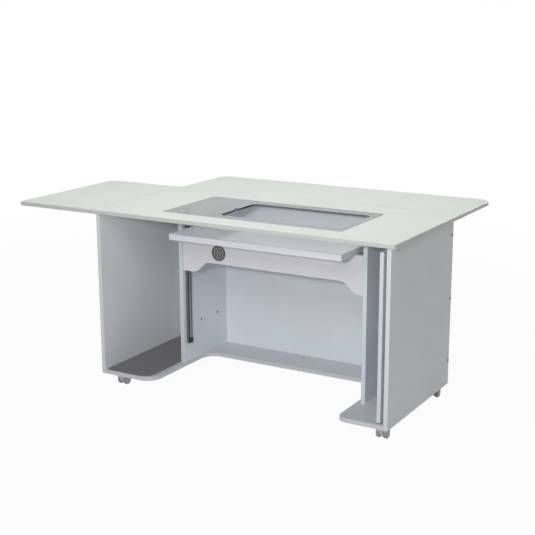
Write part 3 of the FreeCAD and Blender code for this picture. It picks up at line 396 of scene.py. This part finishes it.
# %% Zinc plate
ZINC = screen_colour(196, 199, 202)
SPANGLE_SCALE = 240.0
SPANGLE_SHARE = 0.6
SCUFF_SCALE = 420.0
SCUFF_DETAIL = 6.0
SCUFF_DEPTH = 0.00008
SCUFF_STRENGTH = 0.12
ZINC_TONES = (0.86, 1.08)
ZINC_RANGE = (0.1, 0.9)
ZINC_GLOSS = (0.30, 0.48)


def zinc_finish():
    """Zinc plate: crystals of slightly different tone and gloss, crossed by fine scuffs."""
    material, tree, shader, coords = start_finish("zinc_steel")
    sockets = {"Vector": coords.outputs["Object"], "Scale": SPANGLE_SCALE}
    crystal = put(tree, "TexVoronoi", sockets).outputs["Color"]
    crystal = put(tree, "SeparateColor", {0: crystal}).outputs[0]
    scuffs = speckle(tree, coords, SCUFF_SCALE, SCUFF_DETAIL)
    tone = calc(tree, "MULTIPLY", scuffs, 1 - SPANGLE_SHARE)
    tone = calc(tree, "MULTIPLY_ADD", crystal, SPANGLE_SHARE, tone)
    tree.links.new(two_tone(tree, tone, ZINC, ZINC_TONES), shader.inputs["Base Color"])
    tree.links.new(stretch(tree, tone, *ZINC_RANGE, *ZINC_GLOSS), shader.inputs["Roughness"])
    shader.inputs["Metallic"].default_value = 1.0
    raise_grain(tree, shader, scuffs, SCUFF_DEPTH, SCUFF_STRENGTH)
    return material


zinc = zinc_finish()
print("zinc plate: crystals of", SPANGLE_SCALE, "per metre")

# %% [markdown]
# ## Powder coat and ground rod
# The lift tracks, carriages and coils are powder coated, with the pebbled skin of melted powder. The gas
# spring rods are ground and nitrided dark, so their gloss lies in fine rings round the rod: noise that reads
# the height alone makes such rings without any work on the mesh.

# %% Powder coat and ground rod
POWDER = screen_colour(98, 101, 105)
POWDER_TONES = (0.92, 1.10)
POWDER_GLOSS = (0.52, 0.38)
POWDER_CLOUDS = 18.0
PEBBLE_SCALE = 1300.0
PEBBLE_DEPTH = 0.00018
PEBBLE_STRENGTH = 0.3
ROD_STEEL = screen_colour(150, 152, 155)
ROD_TONES = (0.90, 1.06)
ROD_GLOSS = (0.09, 0.22)
RING_SCALE = 900.0
RING_DETAIL = 3.0
RING_RANGE = (0.2, 0.8)


def powder_finish():
    """Powder coat: dark satin grey with a pebbled skin and slightly polished high spots."""
    material, tree, shader, coords = start_finish("dark_steel")
    pebbles = speckle(tree, coords, PEBBLE_SCALE, FINE_DETAIL)
    clouds = speckle(tree, coords, POWDER_CLOUDS)
    tree.links.new(two_tone(tree, clouds, POWDER, POWDER_TONES), shader.inputs["Base Color"])
    tree.links.new(stretch(tree, pebbles, *NOISE_RANGE, *POWDER_GLOSS), shader.inputs["Roughness"])
    raise_grain(tree, shader, pebbles, PEBBLE_DEPTH, PEBBLE_STRENGTH)
    return material


def rod_finish():
    """Nitrided ground rod: fine rings along the height, each with its own gloss."""
    material, tree, shader, coords = start_finish("rod_steel")
    height = put(tree, "SeparateXYZ", {0: coords.outputs["Object"]}).outputs[2]
    sockets = {"W": height, "Scale": RING_SCALE, "Detail": RING_DETAIL}
    rings = put(tree, "TexNoise", sockets, noise_dimensions="1D").outputs["Fac"]
    tree.links.new(two_tone(tree, rings, ROD_STEEL, ROD_TONES), shader.inputs["Base Color"])
    tree.links.new(stretch(tree, rings, *RING_RANGE, *ROD_GLOSS), shader.inputs["Roughness"])
    shader.inputs["Metallic"].default_value = 1.0
    return material


FINISHES = {"zinc_steel": zinc, "dark_steel": powder_finish(), "rod_steel": rod_finish()}
slot_of = {piece["node"]: piece["material_slot"] for piece in frame["record"]["subparts"]}
for node, slot in slot_of.items():
    if slot in FINISHES:
        dress(node, FINISHES[slot])
print("metal nodes dressed:", sum(slot in FINISHES for slot in slot_of.values()))

# %% [markdown]
# ## Mouldings
# Caps, slide blocks and castors are injection moulded with a fine spark-eroded grain; the parts of the lift
# that slide or carry load are black nylon. A castor's tread is a softer grey than its disc and a little dusty
# where it meets the floor, so the wheel recipe looks at how far a point lies from the axle.

# %% Dress the mouldings
DARK_MOULDING = screen_colour(92, 91, 90)
NYLON_BLACK = screen_colour(36, 36, 37)
CASTOR_GREY = screen_colour(189, 190, 192)
TREAD_GREY = screen_colour(143, 143, 144)
TREAD_START = 0.0150
TREAD_FULL = 0.0165
WHEEL_HEIGHT = 0.019
MOULDED_TONES = (0.92, 1.08)
MOULDED_GLOSS = (0.42, 0.55)
MOULDED_SPECULAR = 0.4
MOULDED_CLOUDS = 60.0
CLOUD_DETAIL = 3.0
DUST_TONES = (0.85, 1.15)
GRAIN_SCALE = 1900.0
GRAIN_DEPTH = 0.0001
GRAIN_STRENGTH = 0.25


def moulded_finish(name, colour, axle=None):
    """Grained moulding; with an axle place (y, z) the rim beyond the tread radius turns to tread grey."""
    material, tree, shader, coords = start_finish(name)
    grain = speckle(tree, coords, GRAIN_SCALE, FINE_DETAIL)
    clouds = speckle(tree, coords, MOULDED_CLOUDS, CLOUD_DETAIL)
    surface = two_tone(tree, clouds, colour, MOULDED_TONES)
    if axle:
        spokes = put(tree, "VectorMath", {0: coords.outputs["Object"], 1: (0.0, *axle)}, operation="SUBTRACT")
        flat = put(tree, "VectorMath", {0: spokes.outputs[0], 1: (0.0, 1.0, 1.0)}, operation="MULTIPLY")
        radius = put(tree, "VectorMath", {0: flat.outputs[0]}, operation="LENGTH").outputs["Value"]
        dusty = two_tone(tree, clouds, TREAD_GREY, DUST_TONES)
        surface = mix_colours(tree, stretch(tree, radius, TREAD_START, TREAD_FULL), surface, dusty)
    tree.links.new(surface, shader.inputs["Base Color"])
    tree.links.new(stretch(tree, clouds, *NOISE_RANGE, *MOULDED_GLOSS), shader.inputs["Roughness"])
    shader.inputs["Specular IOR Level"].default_value = MOULDED_SPECULAR
    raise_grain(tree, shader, grain, GRAIN_DEPTH, GRAIN_STRENGTH)
    return material


dark_moulding = moulded_finish("dark_plastic", DARK_MOULDING)
castor_moulding = moulded_finish("grey_plastic", CASTOR_GREY)
MOULDINGS = {"dark_plastic": dark_moulding, "grey_plastic": castor_moulding}
for node, slot in slot_of.items():
    if slot in MOULDINGS:
        dress(node, MOULDINGS[slot])
black_nylon = moulded_finish("black_nylon", NYLON_BLACK)
for node in slot_of:
    if node.endswith(("_rod_anchor", "_glides")):
        dress(node, black_nylon)
wheel_nodes = [node for node in slot_of if node.startswith("castor_wheels_")]
for node in wheel_nodes:
    low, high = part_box(node)
    axle_place = ((low[DEEP] + high[DEEP]) / 2, WHEEL_HEIGHT)
    dress(node, moulded_finish(node + "_finish", CASTOR_GREY, axle_place))
print("mouldings dressed, with", len(wheel_nodes), "wheel pairs")

# %% [markdown]
# ## Screws
# Hinges, stays, castors, tracks and runners are held by screws, most with pan heads, and flush where another
# piece passes close by. They are too small for the solids but show in any close look. One head is worked out
# as a surface of two parameters and then stamped at every place at once: numpy turns the template to each
# screw's own axis in a single product, and a growing turn keeps the cross recesses from lining up.

# %% Screw template
HEAD_TURNS = 16
HEAD_RINGS = (0.22, 0.45, 0.65, 0.85, 1.0, 1.0)
RECESS_REACH = 0.6
RECESS_DEPTH = 0.7
HEAD_SINK = -0.25
GOLDEN_TURN = math.radians(137.5)
NEARLY_ACROSS = 0.9
CREASE = math.radians(38)


def closed_shell(rings):
    """Points and faces of a closed shell: a grid of rings by turns, each end drawn to a middle pole."""
    count, turns = rings.shape[:2]
    poles = rings[[0, -1]].mean(axis=1)
    points = np.concatenate([rings.reshape(-1, 3), poles])
    index = np.arange(count * turns).reshape(count, turns)
    following = np.roll(index, -1, axis=1)
    quads = np.stack([index[:-1], index[1:], following[1:], following[:-1]], axis=-1).reshape(-1, 4)
    top = np.stack([np.full(turns, count * turns), index[0], following[0]], axis=-1)
    bottom = np.stack([np.full(turns, count * turns + 1), following[-1], index[-1]], axis=-1)
    return points, [quads, top, bottom]


def screw_head():
    """Unit head: height 1 - rho^4 over the rings, less |cos 2 theta|^4 (1 - (rho / reach)^2) at the cross."""
    rho = np.array(HEAD_RINGS)[:, None]
    theta = np.linspace(0, 2 * np.pi, HEAD_TURNS, endpoint=False)[None, :]
    recess = np.abs(np.cos(2 * theta)) ** 4 * np.clip(1 - (rho / RECESS_REACH) ** 2, 0, 1)
    height = 1 - rho**4 - RECESS_DEPTH * recess
    height[-1] = HEAD_SINK
    return closed_shell(np.stack([rho * np.cos(theta), rho * np.sin(theta), height], axis=-1))


def stamp(template, places, axes, radii, heights):
    """Copies of a unit shell: scaled by radius and height, turned to each axis, set at each place."""
    points, groups = template
    places, axes = np.asarray(places, float), np.asarray(axes, float)
    spare = np.where(np.abs(axes[:, :1]) < NEARLY_ACROSS, [[1.0, 0.0, 0.0]], [[0.0, 1.0, 0.0]])
    side = np.cross(spare, axes)
    side /= np.linalg.norm(side, axis=1, keepdims=True)
    turn = (np.arange(len(places)) * GOLDEN_TURN)[:, None]
    first = side * np.cos(turn) + np.cross(axes, side) * np.sin(turn)
    basis = np.stack([first, np.cross(axes, first), axes], axis=1)
    sizes = np.stack([radii, radii, heights], axis=-1)[:, None, :]
    copies = places[:, None, :] + np.einsum("nvk,nkd->nvd", points[None] * sizes, basis)
    shift = (np.arange(len(places)) * len(points))[:, None, None]
    faces = [face for group in groups for face in (group[None] + shift).reshape(-1, group.shape[1]).tolist()]
    return copies.reshape(-1, 3), faces


def make_piece(name, points, faces, body, material):
    """Put a surface into a mesh at the origin, dress it, and let it ride on a body."""
    mesh = bpy.data.meshes.new(name)
    mesh.from_pydata(points.tolist(), [], faces)
    mesh.shade_smooth()
    mesh.set_sharp_from_angle(angle=CREASE)
    mesh.materials.append(material)
    piece = bpy.data.objects.new(name, mesh)
    bpy.context.collection.objects.link(piece)
    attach(piece, body)
    return piece


print("screw head:", len(screw_head()[0]), "points")

# %% [markdown]
# ## Where the screws sit
# A node such as a row of hinges is several solids in one mesh. Sorting its coordinates along one axis and
# cutting at the wide gaps gives the span of each solid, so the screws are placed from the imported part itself.

# %% Screw places
SOLID_GAP = 0.1
HINGE_SHEET = 0.002
HINGE_ROW = 0.005
FLAP_ROW = 0.012
ALONG_HINGE = (0.14, 0.5, 0.86)
MIDDLE = 0.5
BRACKET_SHEET = 0.0025
BRACKET_ROW = 0.0125
RAIL_FLOOR = 0.002
RAIL_ROW = 0.03
PLATE_SHEET = 0.0025
PLATE_ROW = 0.0135
WOOD_SCREW = (0.0031, 0.0011)
FLUSH_SCREW = (0.0036, 0.0002)
CASTOR_SCREW = (0.0027, 0.0010)
screws = {}


def spans(node, axis):
    """Start and end of each of a node's solids along an axis."""
    mesh = nodes[node].data
    places = np.empty(len(mesh.vertices) * 3, np.float32)
    mesh.vertices.foreach_get("co", places)
    line = np.sort(places.reshape(-1, 3)[:, axis])
    cuts = np.flatnonzero(np.diff(line) > SOLID_GAP)
    return np.stack([line[np.r_[0, cuts + 1]], line[np.r_[cuts, len(line) - 1]]], axis=-1)


def add_screws(body, size, facing, *rows):
    """Note screws of one size and facing for a body; each row gives x, y and z, which are matched up."""
    x, y, z = (part.ravel() for part in np.broadcast_arrays(*rows))
    for place in np.stack([x, y, z], axis=-1):
        screws.setdefault(body, []).append((place, facing, *size))


def shares(pairs, *fractions):
    """Places at fractions of each span, one row per span."""
    return pairs[:, :1] + (pairs[:, 1:] - pairs[:, :1]) * np.array([fractions])


DOWN = (0.0, 0.0, -1.0)
for edge, along, leaf_body in (("left", DEEP, "left_drop_leaf"), ("rear", ACROSS, "rear_drop_leaf")):
    across = ACROSS + DEEP - along
    outward = -1 if edge == "left" else 1
    hinge_halves = (("_hinge_plates", "cabinet", HINGE_ROW), ("_hinge_flaps", leaf_body, FLAP_ROW))
    for ending, body, inset in hinge_halves:
        node = edge + ending
        low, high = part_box(node)
        free_edge = outward if body == leaf_body else -outward
        row = high[across] - inset if free_edge > 0 else low[across] + inset
        line = shares(spans(node, along), *ALONG_HINGE)
        rows = (row, line) if along == DEEP else (line, row)
        add_screws(body, WOOD_SCREW, DOWN, *rows, high[UP] - HINGE_SHEET)
    low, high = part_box(edge + "_stay_brackets")
    middle = (low[across] + high[across]) / 2 + np.array([[-BRACKET_ROW, BRACKET_ROW]])
    line = shares(spans(edge + "_stay_brackets", along), MIDDLE)
    rows = (middle, line) if along == DEEP else (line, middle)
    add_screws(leaf_body, WOOD_SCREW, DOWN, *rows, high[UP] - BRACKET_SHEET)
    low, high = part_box(edge + "_stay_rails")
    floor_face = high[across] - RAIL_FLOOR if outward < 0 else low[across] + RAIL_FLOOR
    line = shares(spans(edge + "_stay_rails", along), MIDDLE)
    heights = np.array([[low[UP] + RAIL_ROW, high[UP] - RAIL_ROW]])
    facing = tuple(float(outward) if axis == across else 0.0 for axis in range(3))
    rows = (floor_face, line) if along == DEEP else (line, floor_face)
    add_screws("cabinet", FLUSH_SCREW, facing, *rows, heights)

for node in slot_of:
    if node.startswith("castor_plate_"):
        low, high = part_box(node)
        corner = np.array([-PLATE_ROW, PLATE_ROW])
        x = (low[ACROSS] + high[ACROSS]) / 2 + corner[:, None]
        y = (low[DEEP] + high[DEEP]) / 2 + corner[None, :]
        add_screws("cabinet", CASTOR_SCREW, DOWN, x, y, high[UP] - PLATE_SHEET)
print("screws so far:", {body: len(rows) for body, rows in screws.items()})

# %% [markdown]
# ## Screws of the lift and the runners
# The carriages are bolted to the platform and the beam, and the tracks and runners are screwed to the boards
# that they lie against. The same helpers note these places too. The track screws are flush, because the coil
# springs pass close to them as the lift goes down. Then each body's screws are made in one go, as one mesh.

# %% Screws of the lift and the runners
ARM_SHEET = 0.003
SHELF_INSET = 0.02
SHELF_ROWS = (0.25, 0.6, 0.9)
FLANGE_INSET = 0.025
FLANGE_ROWS = (0.2, 0.6)
TRACK_SHEET = 0.0015
TRACK_ROWS = np.array([0.05, 0.12, 0.54])
RUNNER_SHEET = 0.0015
RUNNER_ROWS = (0.08, 0.5, 0.92)
BOLT = (0.0042, 0.0020)
RUNNER_SCREW = (0.0034, 0.0010)

for side, inward in (("left", 1.0), ("right", -1.0)):
    low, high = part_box(side + "_carriage")
    box = np.array([[low[DEEP], high[DEEP]], [low[UP], high[UP]]])
    near, far = (low[ACROSS], high[ACROSS]) if inward > 0 else (high[ACROSS], low[ACROSS])
    shelf = (far - inward * SHELF_INSET, shares(box[:1], *SHELF_ROWS), high[UP] - ARM_SHEET)
    add_screws("lift", BOLT, DOWN, *shelf)
    flange = (near + inward * FLANGE_INSET, low[DEEP] + ARM_SHEET, shares(box[1:], *FLANGE_ROWS))
    add_screws("lift", BOLT, (0.0, 1.0, 0.0), *flange)
    low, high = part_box(side + "_lift_track")
    web = low[ACROSS] + TRACK_SHEET if inward > 0 else high[ACROSS] - TRACK_SHEET
    middle = (low[DEEP] + high[DEEP]) / 2
    add_screws("cabinet", FLUSH_SCREW, (inward, 0.0, 0.0), web, middle, low[UP] + TRACK_ROWS)
for level in ("lower", "upper"):
    for node, body, inward in (("_runner_rail", "cabinet", -1.0), ("_runner_slide", "pullout", 1.0)):
        low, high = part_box(level + node)
        web = high[ACROSS] - RUNNER_SHEET if inward < 0 else low[ACROSS] + RUNNER_SHEET
        line = shares(np.array([[low[DEEP], high[DEEP]]]), *RUNNER_ROWS)
        add_screws(body, RUNNER_SCREW, (inward, 0.0, 0.0), web, line, (low[UP] + high[UP]) / 2)

for body, rows in screws.items():
    places, axes, radii, heights = (np.array(part) for part in zip(*rows))
    points, faces = stamp(screw_head(), places, axes, radii, heights)
    make_piece(body + "_screws", points, faces, body, zinc)
print("screws:", {body: len(rows) for body, rows in screws.items()})

# %% [markdown]
# ## Hub caps
# Each castor wheel is closed by a pressed-in cap in the dish of its hub: a raised ring round a small dimple.
# It is a profile turned round the axle, so the same closed shell serves, with the profile's radii and heights
# as its rings.

# %% Hub caps
CAP_TURNS = 40
CAP_PROFILE = np.array([
    (0.10, 0.42), (0.22, 0.46), (0.30, 0.86), (0.40, 1.00), (0.62, 1.00),
    (0.74, 0.84), (0.88, 0.74), (0.96, 0.62), (1.00, 0.34), (1.00, -0.08),
])
CAP_RADIUS = 0.0103
CAP_HEIGHT = 0.0012
DISH_DEPTH = 0.0015


def hub_cap():
    """Unit cap: each (radius, height) of the profile turned once round the axis."""
    theta = np.linspace(0, 2 * np.pi, CAP_TURNS, endpoint=False)
    radius, height = CAP_PROFILE[:, :1], CAP_PROFILE[:, 1:]
    rings = (radius * np.cos(theta), radius * np.sin(theta), height + 0 * theta)
    return closed_shell(np.stack(rings, axis=-1))


for node in wheel_nodes:
    place_name = node.removeprefix("castor_wheels_")
    low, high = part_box(node)
    axle_y = (low[DEEP] + high[DEEP]) / 2
    dishes = (low[ACROSS] + DISH_DEPTH, high[ACROSS] - DISH_DEPTH)
    seats = [(dish, axle_y, WHEEL_HEIGHT) for dish in dishes]
    ends = [(-1.0, 0.0, 0.0), (1.0, 0.0, 0.0)]
    points, faces = stamp(hub_cap(), seats, ends, np.full(2, CAP_RADIUS), np.full(2, CAP_HEIGHT))
    body = "castor_pair_" + place_name
    make_piece("castor_caps_" + place_name, points, faces, body, castor_moulding)
print("hub caps on", len(wheel_nodes), "wheel pairs")

# %% [markdown]
# ## Light dots in the vent
# A pale disc is set behind the round vent in the beam, so that its rings of holes show as light dots: this is
# painted light, for the light seen through the holes. It is the simplest closed shell there is: two equal
# rings, drawn to a pole at each end.

# %% Vent light disc
# Painted light: a pale disc behind the vent holes, for the light seen through them.
VENT_LIGHT_DISC = screen_colour(214, 214, 210)
VENT_LIGHT_RADIUS = 0.0272
VENT_LIGHT_THICK = 0.0008
VENT_LIGHT_SETBACK = 0.0036


def disc():
    """Unit disc: a circle at height 1 over the same circle at height 0."""
    theta = np.linspace(0, 2 * np.pi, CAP_TURNS, endpoint=False)
    circle = np.stack([np.cos(theta), np.sin(theta), 0 * theta], axis=-1)
    return closed_shell(np.stack([circle + (0, 0, 1), circle]))


low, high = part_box("vent_cap")
seat = ((low[ACROSS] + high[ACROSS]) / 2, low[DEEP] + VENT_LIGHT_SETBACK, (low[UP] + high[UP]) / 2)
points, faces = stamp(disc(), [seat], [(0.0, -1.0, 0.0)], np.full(1, VENT_LIGHT_RADIUS), np.full(1, VENT_LIGHT_THICK))
make_piece("vent_gauze", points, faces, "lift", moulded_finish("filter_gauze", VENT_LIGHT_DISC))
print("pale disc of painted light behind the vent at", np.round(seat, 4).tolist())

# %% [markdown]
# ## Mat in the left bay
# The floor of the left bay is covered by a thin dark mat, cut a little smaller than the bay and with its
# front corners rounded like the base plate under it. The outline is four quarter circles joined by straight
# runs. Each point is a corner's centre plus its radius in one fan of directions, so all four come from one
# sum; the same closed shell then turns three such outlines into a sheet with a softened edge.

# %% Left bay mat
MAT_GREY = screen_colour(122, 120, 121)
MAT_THICK = 0.002
MAT_EDGE = 0.0006
MAT_SINK = 0.0002
MAT_GAPS = np.array([[0.003, 0.003], [0.003, 0.010]])
MAT_RADII = np.array([0.018, 0.050, 0.012, 0.012])
CORNER_STEPS = 12


def rounded_outline(low, high, radii):
    """Round a rectangle from its near left: corner + r (inward + (cos a, sin a)), a over each quarter."""
    corners = np.array([[low[0], low[1]], [high[0], low[1]], [high[0], high[1]], [low[0], high[1]]])
    inward = np.array([[1, 1], [-1, 1], [-1, -1], [1, -1]])
    angle = np.pi * (1 + (np.arange(4)[:, None] + np.linspace(0, 1, CORNER_STEPS)[None]) / 2)
    fan = np.stack([np.cos(angle), np.sin(angle)], axis=-1)
    return (corners[:, None] + radii[:, None, None] * (inward[:, None] + fan)).reshape(-1, 2)


def sheet(low, high, radii, levels, insets):
    """Closed sheet: one outline per level, each drawn in by its inset."""
    outlines = [rounded_outline(low + inset, high - inset, radii - inset) for inset in insets]
    rings = [np.column_stack([line, np.full(len(line), level)]) for line, level in zip(outlines, levels)]
    points, groups = closed_shell(np.stack(rings))
    return points, [face for group in groups for face in group.tolist()]


base_low, base_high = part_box("base_plate")
bay_low = np.array([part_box("left_side_panel")[1][ACROSS], base_low[DEEP]]) + MAT_GAPS[0]
bay_high = np.array([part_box("left_divider")[0][ACROSS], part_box("back_panel")[0][DEEP]]) - MAT_GAPS[1]
mat_levels = base_high[UP] + np.array([MAT_THICK, MAT_THICK - MAT_EDGE, -MAT_SINK])
points, faces = sheet(bay_low, bay_high, MAT_RADII, mat_levels, (MAT_EDGE, 0.0, 0.0))
make_piece("left_bay_mat", points, faces, "cabinet", moulded_finish("bay_mat", MAT_GREY))
print("mat in the left bay, in metres:", np.round(bay_high - bay_low, 3).tolist(), "by", MAT_THICK)
